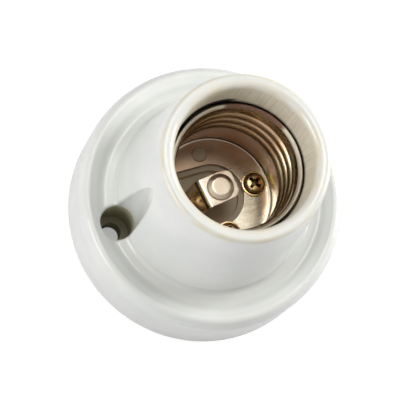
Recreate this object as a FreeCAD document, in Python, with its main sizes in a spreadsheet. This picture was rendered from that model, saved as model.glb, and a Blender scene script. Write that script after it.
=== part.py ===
import FreeCAD, Part
import math
import os

import Sketcher
from FreeCAD import Vector

# Surface-mounting porcelain holder for a screw-base lamp, in millimetres.
# The origin is the centre of the flat underside, +Z points out of the mouth,
# and the two fixing holes lie on the X axis. The centre contact comes in from +X.
# The thread sets the size of the bore, and the porcelain is built outwards from it.

doc = FreeCAD.newDocument("LampHolder")
sheet = doc.addObject("Spreadsheet::Sheet", "Sizes")

SIZES = (
    # threaded sleeve, from which the holder is sized outwards
    ("thread_crest_radius", 12.3, "inside of the thread's crests"),
    ("thread_depth", 0.9, "crests to roots, and to the plain wall"),
    ("thread_pitch", 3.629, "pitch of the thread"),
    ("thread_phase", 11.8, "height of a crest over the floor, on the +X side"),
    ("thread_start", 12.0, "where the thread begins, above the floor"),
    ("thread_length", 10.9, "height of the threaded part"),
    ("thread_fade", 1.3, "length over which the thread begins and ends"),
    ("lip_length", 2.1, "end of the thread to the top of the lip"),
    ("lip_flare", 1.7, "height of the flare"),
    ("lip_spread", 0.1, "inside of the lip beyond the plain wall"),
    ("sleeve_sheet", 0.35, "sheet of the sleeve"),
    ("sleeve_foot_width", 1.7, "in-turned foot of the sleeve"),
    ("sleeve_bend", 0.3, "inside radius where the wall turns in"),
    # outside of the porcelain, each radius a step further out than the one before
    ("bore_clearance", 0.4, "bore round the sleeve"),
    ("bore_widening", 0.2, "bore, wider at the rim"),
    ("rim_wall", 2.7, "wall of the rim"),
    ("tower_lean", 4.15, "tower, wider at its foot"),
    ("shelf_width", 2.8, "foot of the tower to the lowest ring of the valley"),
    ("ridge_width", 3.6, "lowest ring to the crest of the ridge"),
    ("shoulder_width", 1.65, "crest of the ridge to the skirt"),
    ("skirt_lean", 0.45, "skirt, wider at the underside"),
    ("overall_height", 47.5, "underside to the top of the rim"),
    ("ridge_height", 17.2, "crest above the underside"),
    ("shoulder_drop", 2.6, "skirt corner below the crest"),
    ("valley_drop", 2.1, "valley below the crest"),
    ("foot_drop", 1.6, "foot of the tower below the crest"),
    ("base_edge_rounding", 0.8, "edge of the underside"),
    ("shoulder_rounding", 4.0, "skirt into the ridge"),
    ("ridge_rounding", 1.2, "crest into the valley"),
    ("valley_rounding", 2.4, "bottom of the valley"),
    ("foot_rounding", 1.2, "valley into the tower"),
    # inside of the porcelain
    ("bore_lead", 9.2, "length of the widening part below the rim"),
    ("floor_thickness", 5.6, "floor that carries the sleeve"),
    ("recess_depth", 1.5, "recess under the centre contact"),
    ("recess_step", 1.1, "ledge round the recess, inside the plate's window"),
    ("recess_margin", 0.4, "recess beyond the sleeve's foot"),
    ("peg_radius", 1.5, "locating peg on the floor"),
    ("peg_proud", 0.1, "peg above the sleeve plate"),
    ("wiring_depth", 8.5, "underside to the ceiling of the wiring space"),
    ("wiring_corner", 3.0, "corners of the wire lobes"),
    ("lobe_clearance", 0.95, "wire lobes beside the terminals"),
    ("lobe_wall", 7.0, "end of a lobe to the outside of the base"),
    # fixing holes
    ("fixing_offset", 0.6, "fixing holes outside the foot of the tower"),
    ("fixing_hole_radius", 2.2, "hole for the wood screw"),
    ("fixing_well_radius", 3.7, "well for the head of the wood screw"),
    ("fixing_well_wall", 1.9, "wall between a well and the wiring space"),
    ("fixing_seat_height", 5.0, "seat of the screw head above the underside"),
    ("fixing_edge_rounding", 0.6, "edge of a well, and of the hollow it leaves in the tower"),
    # sleeve plate
    ("plate_sheet", 0.8, "sheet of the plate"),
    ("plate_clearance", 0.2, "round the plate, inside the sleeve"),
    ("plate_margin", 3.25, "shell screw and peg to the plate's edge"),
    ("side_margin", 3.7, "side screw to the plate's edge"),
    ("window_margin", 2.45, "shell screw to the window for the contact"),
    ("screw_clearance", 0.2, "round the screws and the peg"),
    # centre contact
    ("contact_sheet", 0.8, "sheet of the contact"),
    ("contact_width", 6.4, "width of the contact"),
    ("contact_turn", 8.0, "angle from the fixing holes' line"),
    ("contact_margin", 2.45, "its screw to the end of the foot"),
    ("contact_head_gap", 0.4, "its screw's head to the sleeve's foot"),
    ("contact_riser_gap", 0.6, "its screw's head to the riser"),
    ("contact_riser_lean", 0.8, "riser, closer to the axis at its top"),
    ("contact_nose", 3.6, "axis to the free end"),
    ("contact_height", 10.4, "free end above the foot's seat"),
    ("contact_bend", 0.4, "inside radius of the bends"),
    ("contact_nose_rounding", 1.9, "corners of the free end"),
    ("button_height", 1.0, "raised button on the contact"),
    ("button_foot_radius", 2.8, "button, at its foot"),
    ("button_top_radius", 1.9, "button, at its face"),
    # screws
    ("screw_radius", 1.5, "shank of every screw"),
    ("screw_point", 0.35, "chamfer of the shank's end"),
    ("screw_proud", 1.0, "fixed screws beyond what they are screwed into"),
    ("head_radius", 2.65, "rim of the head"),
    ("head_rim", 0.55, "height of the head's rim"),
    ("head_dome_radius", 2.2, "domed part of the head"),
    ("head_height", 1.7, "height of the head"),
    ("head_rounding", 0.6, "edge of the domed part"),
    ("cross_reach", 1.45, "arm of the cross recess"),
    ("cross_half_width", 0.38, "half the width of an arm"),
    ("cross_depth", 1.2, "depth of the cross recess"),
    ("side_screw_angle", 94.0, "side screw, turned from +X"),
    ("side_nut_size", 5.5, "square nut, across its flats"),
    ("side_nut_thickness", 2.4, "thickness of the nut"),
    # terminals
    ("terminal_sheet", 1.0, "brass strip of the terminals"),
    ("terminal_width", 5.6, "width of a terminal"),
    ("terminal_margin", 2.9, "hole centres to the ends"),
    ("terminal_rounding", 1.0, "corners of a terminal"),
    ("terminal_span", 8.2, "fixing screw to clamp screw"),
    ("thread_play", 0.03, "round a shank in a tapped hole"),
    ("clamp_washer_size", 5.6, "side of the clamp washers"),
    ("clamp_washer_thickness", 0.8, "thickness of the clamp washers"),
    ("clamp_shank", 4.2, "length of the clamp screws"),
    ("clamp_well_depth", 3.0, "hole in the porcelain for a clamp screw's end"),
)

for row, (alias, value, note) in enumerate(SIZES, start=1):
    sheet.set(f"A{row}", alias)
    sheet.set(f"B{row}", str(value))
    sheet.set(f"C{row}", note)
    sheet.setAlias(f"B{row}", alias)
doc.recompute()


def size(alias):
    """A driving size as a number."""
    return float(sheet.get(alias))


def value_of(formula):
    """The number that a formula in the sheet's names comes to."""
    return float(sheet.evalExpression(named(formula)))


def named(formula):
    """A formula in bare size names, with the sheet's name put before each of them."""
    words = []
    word = ""
    for letter in formula + " ":
        if letter.isalnum() or letter in "_.":
            word += letter
            continue
        words.append("Sizes." + word if word in ALIASES else word)
        words.append(letter)
        word = ""
    return "".join(words).strip()


ALIASES = {alias for alias, _, _ in SIZES}

# Heights that several pieces share, as formulas in the size names.
FLOOR = "wiring_depth + floor_thickness"
RECESS_FLOOR = f"{FLOOR} - recess_depth"
PLATE_UNDERSIDE = f"{FLOOR} + sleeve_sheet"
PLATE_TOP = f"{PLATE_UNDERSIDE} + plate_sheet"
THREAD_END = "thread_start + thread_length"
TERMINAL_UNDERSIDE = "wiring_depth - terminal_sheet"
WASHER_UNDERSIDE = f"{TERMINAL_UNDERSIDE} - clamp_washer_thickness"

# Radii from the thread outwards.
SLEEVE_WALL = "thread_crest_radius + thread_depth"
SLEEVE_FOOT = f"{SLEEVE_WALL} - sleeve_foot_width"
BORE = f"{SLEEVE_WALL} + sleeve_sheet + bore_clearance"
MOUTH = f"{BORE} + bore_widening"
RIM = f"{MOUTH} + rim_wall"
FOOT = f"{RIM} + tower_lean"
VALLEY = f"{FOOT} + shelf_width"
RIDGE = f"{VALLEY} + ridge_width"
SHOULDER = f"{RIDGE} + shoulder_width"
BASE = f"{SHOULDER} + skirt_lean"
FIXING = f"{FOOT} + fixing_offset"
WIRING = f"{FIXING} - fixing_well_radius - fixing_well_wall"

# Reaches from the axis to the pieces on the floor.
PLATE = f"{SLEEVE_WALL} - sleeve_bend - plate_clearance"
SHELL_REACH = f"{PLATE} - plate_margin"
SIDE_REACH = f"({PLATE} - side_margin)"
WINDOW = f"{SHELL_REACH} - window_margin"
RECESS = f"{WINDOW} - recess_step"
CONTACT_REACH = f"({SLEEVE_FOOT} - head_radius - contact_head_gap)"
RISER_FOOT = f"{CONTACT_REACH} - head_radius - contact_riser_gap"
RISER_TOP = f"{RISER_FOOT} - contact_riser_lean"

# Places of the screws in plan, as (across, along).
SHELL_SCREW = (f"0 - ({SHELL_REACH})", "0")
SIDE_SCREW = (f"{SIDE_REACH} * cos(side_screw_angle)", f"{SIDE_REACH} * sin(side_screw_angle)")
CONTACT_SCREW = (f"{CONTACT_REACH} * cos(contact_turn)", f"{CONTACT_REACH} * sin(contact_turn)")
PEG = ("0", f"0 - ({SHELL_REACH})")
LIVE_CLAMP = (CONTACT_SCREW[0], f"{CONTACT_SCREW[1]} + terminal_span")
NEUTRAL_CLAMP = (SHELL_SCREW[0], f"{SHELL_SCREW[1]} - terminal_span")


def new_body(label):
    body = doc.addObject("PartDesign::Body", label)
    body.Label = label
    return body


def new_sketch(body, name, plane="XY_Plane", lift="0"):
    """A sketch on one of the body's own planes, lifted along that plane's normal."""
    sketch = body.newObject("Sketcher::SketchObject", name)
    planes = [feature for feature in body.Origin.OriginFeatures if feature.Role == plane]
    sketch.AttachmentSupport = [(planes[0], "")]
    sketch.MapMode = "FlatFace"
    sketch.setExpression(".AttachmentOffset.Base.z", named(lift))
    return sketch


def pin_point(sketch, edge, end, place):
    """Holds a point of the sketch at (across, up), both formulas."""
    for formula, kind, axis in ((place[0], "DistanceX", -2), (place[1], "DistanceY", -1)):
        if formula == "0":
            sketch.addConstraint(Sketcher.Constraint("PointOnObject", edge, end, axis))
            continue
        number = value_of(formula)
        index = sketch.addConstraint(Sketcher.Constraint(kind, -1, 1, edge, end, number))
        sketch.setExpression(f"Constraints[{index}]", named(formula))


def draw_outline(sketch, corners):
    """A closed outline of straight lines through the corners."""
    points = [Vector(value_of(across), value_of(up), 0) for across, up in corners]
    first = sketch.GeometryCount
    count = len(points)
    for index in range(count):
        sketch.addGeometry(Part.LineSegment(points[index], points[(index + 1) % count]), False)
    for index in range(count):
        following = first + (index + 1) % count
        sketch.addConstraint(Sketcher.Constraint("Coincident", first + index, 2, following, 1))
        pin_point(sketch, first + index, 1, corners[index])


def draw_circle(sketch, place, radius):
    """A circle at (across, up) of the given radius, all formulas."""
    centre = Vector(value_of(place[0]), value_of(place[1]), 0)
    edge = sketch.addGeometry(Part.Circle(centre, Vector(0, 0, 1), value_of(radius)), False)
    index = sketch.addConstraint(Sketcher.Constraint("Radius", edge, value_of(radius)))
    sketch.setExpression(f"Constraints[{index}]", named(radius))
    pin_point(sketch, edge, 3, place)


def box_corners(low, high):
    """The corners of a rectangle between two (across, up) places."""
    return [low, (high[0], low[1]), high, (low[0], high[1])]


def revolve(body, name, corners, kind="PartDesign::Revolution"):
    """Turns an outline in the XZ plane about Z, added or cut away."""
    sketch = new_sketch(body, name + "_outline", "XZ_Plane")
    draw_outline(sketch, corners)
    feature = body.newObject(kind, name)
    feature.Profile = sketch
    feature.ReferenceAxis = (sketch, ["V_Axis"])
    feature.Angle = 360
    doc.recompute()
    return feature


def pad(body, name, sketch, length, midplane=False):
    feature = body.newObject("PartDesign::Pad", name)
    feature.Profile = sketch
    feature.setExpression("Length", named(length))
    feature.Midplane = midplane
    doc.recompute()
    return feature


def pocket(body, name, sketch, depth=None, upward=False):
    """Cuts the sketch away downward or upward, to a depth or right through."""
    before = body.Shape.Volume
    feature = body.newObject("PartDesign::Pocket", name)
    feature.Profile = sketch
    feature.Reversed = upward
    if depth is None:
        feature.Type = "ThroughAll"
    else:
        feature.setExpression("Length", named(depth))
    doc.recompute()
    if body.Shape.Volume >= before:
        raise RuntimeError(f"{name} cuts nothing away")
    return feature


def round_edges(body, name, radius, wanted):
    """Rounds the edges that the test wants, with a radius from the sheet."""
    base = body.Tip
    edges = base.Shape.Edges
    names = [f"Edge{index}" for index, edge in enumerate(edges, start=1) if wanted(edge)]
    if not names:
        raise RuntimeError(f"{name} finds no edge")
    feature = body.newObject("PartDesign::Fillet", name)
    feature.Base = (base, names)
    feature.setExpression("Radius", named(radius))
    doc.recompute()
    return feature


def ring_at(radius, height):
    """A test for a full circle about Z of this radius, at this height."""
    wanted_radius = value_of(radius)
    wanted_height = value_of(height)
    near = 0.001

    def test(edge):
        if not isinstance(edge.Curve, Part.Circle):
            return False
        centre = edge.Curve.Center
        return (
            math.hypot(centre.x, centre.y) < near
            and abs(edge.Curve.Radius - wanted_radius) < near
            and abs(centre.z - wanted_height) < near
        )

    return test


def line_along(direction, places):
    """A test for a straight edge along a direction whose middle has one of the x, y, z places."""
    near = 0.01

    def test(edge):
        if not isinstance(edge.Curve, (Part.Line, Part.LineSegment)):
            return False
        if abs(abs(edge.tangentAt(edge.FirstParameter).dot(direction)) - 1) > near:
            return False
        middle = edge.CenterOfMass
        return any(
            all(wanted is None or abs(have - wanted) < near for have, wanted in zip(middle, place))
            for place in places
        )

    return test


def on_well_wall(edge):
    """Whether an edge runs round the mouth of a fixing well, clear of the well's seat."""
    near = 0.02
    samples = 7
    centre = value_of(FIXING)
    radius = size("fixing_well_radius")
    seat = size("fixing_seat_height")
    return all(
        abs(math.hypot(abs(point.x) - centre, point.y) - radius) < near and point.z > seat + radius
        for point in edge.discretize(samples)
    )


def move(node, place, height):
    """Puts a node at (across, along) in plan and at a height."""
    for axis, formula in zip("xyz", (*place, height)):
        node.setExpression(f".Placement.Base.{axis}", named(formula))


def porcelain_body():
    """The fired body: round base, tower with the bore, floor, fixing wells and wiring space."""
    body = new_body("porcelain_body")
    shoulder_height = "ridge_height - shoulder_drop"
    valley_height = "ridge_height - valley_drop"
    foot_height = "ridge_height - foot_drop"
    revolve(body, "outside", [
        ("0", "0"),
        (BASE, "0"),
        (SHOULDER, shoulder_height),
        (RIDGE, "ridge_height"),
        (VALLEY, valley_height),
        (FOOT, foot_height),
        (RIM, "overall_height"),
        ("0", "overall_height"),
    ])
    for name, radius, height, rounding in (
        ("base_edge", BASE, "0", "base_edge_rounding"),
        ("shoulder", SHOULDER, shoulder_height, "shoulder_rounding"),
        ("ridge", RIDGE, "ridge_height", "ridge_rounding"),
        ("valley", VALLEY, valley_height, "valley_rounding"),
        ("foot", FOOT, foot_height, "foot_rounding"),
        ("rim", RIM, "overall_height", "rim_wall / 3"),
    ):
        round_edges(body, name + "_round", rounding, ring_at(radius, height))

    revolve(body, "bore", [
        ("0", FLOOR),
        (BORE, FLOOR),
        (BORE, "overall_height - bore_lead"),
        (MOUTH, "overall_height"),
        ("0", "overall_height"),
    ], "PartDesign::Groove")
    round_edges(body, "mouth_round", "rim_wall * 3 / 5", ring_at(MOUTH, "overall_height"))

    contact_recess(body)
    peg = new_sketch(body, "peg_outline", lift=RECESS_FLOOR)
    draw_circle(peg, PEG, "peg_radius")
    pad(body, "peg", peg, "recess_depth + sleeve_sheet + plate_sheet + peg_proud")
    wiring_space(body)
    screw_holes(body)
    return body


def contact_recess(body):
    """The U-shaped recess in the floor, open towards the contact's foot."""
    round_end = new_sketch(body, "recess_end_outline", lift=FLOOR)
    draw_circle(round_end, ("0", "0"), RECESS)
    pocket(body, "recess_end", round_end, "recess_depth")
    run = new_sketch(body, "recess_run_outline", lift=FLOOR)
    far_corner = (f"{SLEEVE_FOOT} + recess_margin", RECESS)
    draw_outline(run, box_corners(("0", f"0 - ({RECESS})"), far_corner))
    pocket(body, "recess_run", run, "recess_depth")


def wiring_space(body):
    """The space for the wires and terminals: round in the middle, with a lobe at each side."""
    middle = new_sketch(body, "wiring_middle_outline")
    draw_circle(middle, ("0", "0"), WIRING)
    pocket(body, "wiring_middle", middle, "wiring_depth", upward=True)
    half_width = f"{SHELL_REACH} + terminal_width / 2 + lobe_clearance"
    half_length = f"{BASE} - lobe_wall"
    lobes = new_sketch(body, "wiring_lobes_outline")
    low_corner = (f"0 - ({half_width})", f"0 - ({half_length})")
    draw_outline(lobes, box_corners(low_corner, (half_width, half_length)))
    pocket(body, "wiring_lobes", lobes, "wiring_depth", upward=True)
    across = value_of(half_width)
    along = value_of(half_length)
    corners = [(x, y, None) for x in (-across, across) for y in (-along, along)]
    round_edges(body, "wiring_corners", "wiring_corner", line_along(Vector(0, 0, 1), corners))


def screw_holes(body):
    """Fixing holes with their wells, and the holes through the floor."""
    through = new_sketch(body, "fixing_holes_outline")
    wells = new_sketch(body, "fixing_wells_outline", lift="fixing_seat_height")
    for across in (FIXING, f"0 - ({FIXING})"):
        draw_circle(through, (across, "0"), "fixing_hole_radius")
        draw_circle(wells, (across, "0"), "fixing_well_radius")
    pocket(body, "fixing_holes", through, upward=True)
    pocket(body, "fixing_wells", wells, upward=True)
    round_edges(body, "fixing_edges", "fixing_edge_rounding", on_well_wall)

    floor_holes = new_sketch(body, "floor_holes_outline", lift="wiring_depth")
    for place in (SHELL_SCREW, SIDE_SCREW, CONTACT_SCREW):
        draw_circle(floor_holes, place, "screw_radius + screw_clearance")
    pocket(body, "floor_holes", floor_holes, "floor_thickness", upward=True)

    clamp_wells = new_sketch(body, "clamp_wells_outline", lift="wiring_depth")
    for place in (LIVE_CLAMP, NEUTRAL_CLAMP):
        draw_circle(clamp_wells, place, "screw_radius + screw_clearance")
    pocket(body, "clamp_wells", clamp_wells, "clamp_well_depth", upward=True)


def smooth_step(distance, length):
    """Rises from 0 to 1 over a length, level at both ends."""
    share = min(max(distance / length, 0.0), 1.0)
    return share * share * (3 - 2 * share)


def threaded_sleeve():
    """The rolled sleeve: one closed sheet whose section is carried round by a right-hand screw law.

    The section runs up the inside and down the outside. It is a net of control points, smooth in
    both directions, so that thread, lip and foot are one surface with no seam.
    """
    floor = value_of(FLOOR)
    sheet_gauge = size("sleeve_sheet")
    wall = value_of(SLEEVE_WALL)
    pitch = size("thread_pitch")
    bend = size("sleeve_bend")
    foot_top = floor + sheet_gauge
    mean = (wall + size("thread_crest_radius")) / 2
    steps_round = 20
    steps_a_pitch = 8
    # A cubic net lies inside its control points, by these shares of the circle and of the wave.
    circle_gain = 6 / (4 + 2 * math.cos(2 * math.pi / steps_round))
    wave_gain = 6 / (4 + 2 * math.cos(2 * math.pi / steps_a_pitch))
    depth = (wall - mean) * wave_gain

    # Each row: radius, height, outward direction of the sheet (radial, up), share of the thread.
    foot = value_of(SLEEVE_FOOT)
    rows = [
        (foot, foot_top, 0, -1, 0),
        (foot + bend, foot_top, 0, -1, 0),
        (wall - bend, foot_top, 0, -1, 0),
        (wall, foot_top, 1, -1, 0),
        (wall, foot_top + bend, 1, 0, 0),
    ]
    start = size("thread_start")
    end = value_of(THREAD_END)
    fade = size("thread_fade")
    plain_steps = 4
    for step in range(1, plain_steps + 1):
        share = step / plain_steps
        rows.append((wall, foot_top + bend + (floor + start - foot_top - bend) * share, 1, 0, 0))
    thread_steps = math.ceil((end - start) / pitch * steps_a_pitch)
    for step in range(1, thread_steps + 1):
        rise = start + (end - start) * step / thread_steps
        grown = smooth_step(rise - start, fade)
        share = grown * smooth_step(end - rise, fade)
        rows.append((wall + (mean - wall) * grown, floor + rise, 1, 0, share))
    lip = floor + end + size("lip_length")
    flare = size("lip_flare")
    lip_radius = wall + size("lip_spread")
    rows.append((mean, lip - flare * 0.7, 1, 0, 0))
    rows.append((mean + (lip_radius - mean) * 0.5, lip - flare * 0.3, 1, 0, 0))
    rows.append((lip_radius, lip, 1, 0, 0))

    inside = [(radius, height, share) for radius, height, _, _, share in rows]
    outside = [
        (radius + sheet_gauge * out, height + sheet_gauge * up, share)
        for radius, height, out, up, share in rows
    ]
    # Both cut edges are doubled, which keeps them crisp.
    section = [inside[0], *inside, inside[-1], outside[-1], *reversed(outside), outside[0]]

    crest = floor + size("thread_phase")
    net = []
    for step in range(steps_round):
        turn = 2 * math.pi * step / steps_round
        column = []
        for radius, height, share in section:
            wave = math.cos(2 * math.pi * (height - crest) / pitch - turn)
            reach = (radius - depth * share * wave) * circle_gain
            column.append(Vector(reach * math.cos(turn), reach * math.sin(turn), height))
        net.append(column)
    surface = Part.BSplineSurface()
    round_knots = list(range(steps_round + 1))
    section_knots = list(range(len(section) + 1))
    surface.buildFromPolesMultsKnots(
        net,
        [1] * len(round_knots),
        [1] * len(section_knots),
        round_knots,
        section_knots,
        True,
        True,
        3,
        3,
    )
    solid = Part.Solid(Part.Shell([surface.toShape()]))
    if solid.Volume < 0:
        solid.reverse()
    node = doc.addObject("Part::Feature", "threaded_sleeve")
    node.Shape = solid
    node.Label = "threaded_sleeve"
    return node


def sleeve_plate():
    """The horseshoe plate that presses the sleeve's foot onto the floor."""
    body = new_body("sleeve_plate")
    disc = new_sketch(body, "plate_outline", lift=PLATE_UNDERSIDE)
    draw_circle(disc, ("0", "0"), PLATE)
    pad(body, "plate", disc, "plate_sheet")
    round_end = new_sketch(body, "window_end_outline", lift=PLATE_TOP)
    draw_circle(round_end, ("0", "0"), WINDOW)
    pocket(body, "window_end", round_end)
    run = new_sketch(body, "window_run_outline", lift=PLATE_TOP)
    draw_outline(run, box_corners(("0", f"0 - ({WINDOW})"), (SLEEVE_WALL, WINDOW)))
    pocket(body, "window_run", run)
    holes = new_sketch(body, "plate_holes_outline", lift=PLATE_TOP)
    for place in (SHELL_SCREW, SIDE_SCREW):
        draw_circle(holes, place, "screw_radius + screw_clearance")
    draw_circle(holes, PEG, "peg_radius + screw_clearance / 2")
    pocket(body, "plate_holes", holes)
    return body


def centre_contact():
    """The sprung tongue: foot, riser and free end folded from one strip, with a pressed button."""
    body = new_body("centre_contact")
    top = "contact_height"
    under = "contact_height - contact_sheet"
    ribbon = new_sketch(body, "ribbon_outline", "XZ_Plane")
    foot_end = f"{CONTACT_REACH} + contact_margin"
    draw_outline(ribbon, [
        (foot_end, "0"),
        (f"{RISER_FOOT} - contact_sheet", "0"),
        (f"{RISER_TOP} - contact_sheet", under),
        ("0 - contact_nose", under),
        ("0 - contact_nose", top),
        (RISER_TOP, top),
        (RISER_FOOT, "contact_sheet"),
        (foot_end, "contact_sheet"),
    ])
    pad(body, "ribbon", ribbon, "contact_width", midplane=True)

    high = size("contact_height")
    gauge = size("contact_sheet")
    riser_foot = value_of(RISER_FOOT)
    riser_top = value_of(RISER_TOP)
    across = Vector(0, 1, 0)
    inner_bends = [(riser_foot, 0, gauge), (riser_top - gauge, 0, high - gauge)]
    outer_bends = [(riser_foot - gauge, 0, 0), (riser_top, 0, high)]
    round_edges(body, "inner_bends", "contact_bend", line_along(across, inner_bends))
    round_edges(body, "outer_bends", "contact_bend + contact_sheet", line_along(across, outer_bends))
    half = size("contact_width") / 2
    nose = -size("contact_nose")
    upright = Vector(0, 0, 1)
    nose_corners = [(nose, side * half, None) for side in (-1, 1)]
    round_edges(body, "nose_round", "contact_nose_rounding", line_along(upright, nose_corners))

    face = f"{top} + button_height"
    revolve(body, "button", [
        ("0", under),
        ("button_foot_radius", under),
        ("button_foot_radius", top),
        ("button_top_radius", face),
        ("0", face),
    ])
    hollow_face = f"{under} + button_height"
    revolve(body, "button_hollow", [
        ("0", under),
        ("button_top_radius", under),
        ("button_top_radius - contact_sheet / 2", hollow_face),
        ("0", hollow_face),
    ], "PartDesign::Groove")
    round_edges(body, "button_round", "button_height / 4", ring_at("button_top_radius", face))

    hole = new_sketch(body, "foot_hole_outline", lift="contact_sheet")
    draw_circle(hole, (CONTACT_REACH, "0"), "screw_radius + screw_clearance")
    pocket(body, "foot_hole", hole, "contact_sheet")
    move(body, ("0", "0"), RECESS_FLOOR)
    body.setExpression(".Placement.Rotation.Angle", named("contact_turn"))
    return body


def screw(label, place, seat, length, head_down=False):
    """A cross-recess screw whose head sits at a height, with the shank below it or above it."""
    body = new_body(label)
    end = f"0 - ({length})"
    revolve(body, "turned", [
        ("0", end),
        ("screw_radius - screw_point", end),
        ("screw_radius", f"{end} + screw_point"),
        ("screw_radius", "0"),
        ("head_radius", "0"),
        ("head_radius", "head_rim"),
        ("head_dome_radius", "head_rim"),
        ("head_dome_radius", "head_height"),
        ("0", "head_height"),
    ])
    round_edges(body, "dome", "head_rounding", ring_at("head_dome_radius", "head_height"))
    round_edges(body, "rim", "head_rim / 3", ring_at("head_radius", "head_rim"))
    recess = new_sketch(body, "cross_outline", lift="head_height")
    arm = "cross_half_width"
    reach = "cross_reach"
    draw_outline(recess, [
        (reach, f"0 - {arm}"),
        (reach, arm),
        (arm, arm),
        (arm, reach),
        (f"0 - {arm}", reach),
        (f"0 - {arm}", arm),
        (f"0 - {reach}", arm),
        (f"0 - {reach}", f"0 - {arm}"),
        (f"0 - {arm}", f"0 - {arm}"),
        (f"0 - {arm}", f"0 - {reach}"),
        (arm, f"0 - {reach}"),
        (arm, f"0 - {arm}"),
    ])
    pocket(body, "cross", recess, "cross_depth")
    if head_down:
        body.Placement = FreeCAD.Placement(Vector(), FreeCAD.Rotation(Vector(1, 0, 0), 180))
    move(body, place, seat)
    return body


def square_piece(label, side, thickness, hole_radius, place, height):
    """A square nut or washer with a round hole, its underside at a height."""
    body = new_body(label)
    outline = new_sketch(body, "square_outline")
    half = f"{side} / 2"
    draw_outline(outline, box_corners((f"0 - {half}", f"0 - {half}"), (half, half)))
    draw_circle(outline, ("0", "0"), hole_radius)
    pad(body, "square", outline, thickness)
    move(body, place, height)
    return body


def terminal(label, place, direction):
    """A brass strip under the porcelain's floor, from its fixing screw to its clamp screw."""
    body = new_body(label)
    outline = new_sketch(body, "strip_outline")
    half = "terminal_width / 2"
    low = f"0 - {direction} * terminal_margin"
    high = f"{direction} * (terminal_span + terminal_margin)"
    draw_outline(outline, box_corners((f"0 - {half}", low), (half, high)))
    for along in ("0", f"{direction} * terminal_span"):
        draw_circle(outline, ("0", along), "screw_radius + thread_play")
    pad(body, "strip", outline, "terminal_sheet")
    across = size("terminal_width") / 2
    ends = (value_of(low), value_of(high))
    corners = [(side * across, end, None) for side in (-1, 1) for end in ends]
    round_edges(body, "strip_corners", "terminal_rounding", line_along(Vector(0, 0, 1), corners))
    move(body, place, TERMINAL_UNDERSIDE)
    return body


def terminals():
    """Both terminals, each with a clamp screw and its captive washer."""
    nodes = []
    for name, fixing, clamp, direction in (
        ("live", CONTACT_SCREW, LIVE_CLAMP, "1"),
        ("neutral", SHELL_SCREW, NEUTRAL_CLAMP, "(0 - 1)"),
    ):
        nodes.append(terminal(f"{name}_terminal", fixing, direction))
        nodes.append(square_piece(
            f"{name}_clamp_washer",
            "clamp_washer_size",
            "clamp_washer_thickness",
            "screw_radius + screw_clearance",
            clamp,
            WASHER_UNDERSIDE,
        ))
        clamp_screw = f"{name}_clamp_screw"
        nodes.append(screw(clamp_screw, clamp, WASHER_UNDERSIDE, "clamp_shank", head_down=True))
    return nodes


def fixed_screws():
    """The screws of the sleeve plate and of the contact, and the nut under the side one."""
    contact_seat = f"{RECESS_FLOOR} + contact_sheet"
    terminal_end = f"({TERMINAL_UNDERSIDE} - screw_proud)"
    nut_underside = "wiring_depth - side_nut_thickness"
    nut_end = f"({nut_underside} - screw_proud)"
    nut = square_piece(
        "side_shell_nut",
        "side_nut_size",
        "side_nut_thickness",
        "screw_radius + thread_play",
        SIDE_SCREW,
        nut_underside,
    )
    return [
        screw("shell_screw", SHELL_SCREW, PLATE_TOP, f"{PLATE_TOP} - {terminal_end}"),
        screw("side_shell_screw", SIDE_SCREW, PLATE_TOP, f"{PLATE_TOP} - {nut_end}"),
        nut,
        screw("contact_screw", CONTACT_SCREW, contact_seat, f"{contact_seat} - {terminal_end}"),
    ]


nodes = [porcelain_body(), threaded_sleeve(), sleeve_plate(), centre_contact()]
nodes += fixed_screws()
nodes += terminals()
doc.recompute()

for item in doc.Objects:
    if "Invalid" in item.State or "Error" in item.State:
        raise RuntimeError(f"{item.Label} did not build: {item.State}")
for node in nodes:
    if node.Shape.isNull() or not node.Shape.isValid():
        raise RuntimeError(f"{node.Label} has no valid shape")
    if len(node.Shape.Solids) != 1 or node.Shape.Volume <= 0:
        raise RuntimeError(f"{node.Label} is not one solid")

os.makedirs("parts", exist_ok=True)
for node in nodes:
    node.Shape.exportStep(f"parts/{node.Label}.step")
    print(f"{node.Label}: {node.Shape.Volume:.1f} mm3, faces {len(node.Shape.Faces)}")
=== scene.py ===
import math

import bpy
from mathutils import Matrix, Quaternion, Vector


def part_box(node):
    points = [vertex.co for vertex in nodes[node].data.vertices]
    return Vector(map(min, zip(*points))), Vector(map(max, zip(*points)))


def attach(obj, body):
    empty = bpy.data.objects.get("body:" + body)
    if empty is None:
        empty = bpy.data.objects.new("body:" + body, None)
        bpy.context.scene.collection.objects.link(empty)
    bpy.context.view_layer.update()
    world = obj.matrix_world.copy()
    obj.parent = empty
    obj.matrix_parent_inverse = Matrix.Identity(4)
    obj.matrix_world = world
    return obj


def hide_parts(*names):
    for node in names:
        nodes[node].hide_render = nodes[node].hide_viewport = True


# A porcelain lamp holder: glaze, plated metal, turned screws, rolled sleeve, studio and camera.
# Lengths are written in millimetres, and MM turns them into scene units.

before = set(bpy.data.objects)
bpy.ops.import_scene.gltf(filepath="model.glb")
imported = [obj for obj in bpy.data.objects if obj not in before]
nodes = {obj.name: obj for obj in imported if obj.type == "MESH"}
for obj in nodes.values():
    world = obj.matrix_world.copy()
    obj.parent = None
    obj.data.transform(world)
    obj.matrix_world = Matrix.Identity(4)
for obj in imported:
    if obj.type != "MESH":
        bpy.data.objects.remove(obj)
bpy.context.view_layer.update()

MM = 0.001


def linear(hex_code):
    """An sRGB hex colour as the linear colour that shaders and lamps take."""
    channels = [int(hex_code[i:i + 2], 16) / 255 for i in (1, 3, 5)]
    curve = [c / 12.92 if c <= 0.04045 else ((c + 0.055) / 1.055) ** 2.4 for c in channels]
    return (*curve, 1.0)


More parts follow.
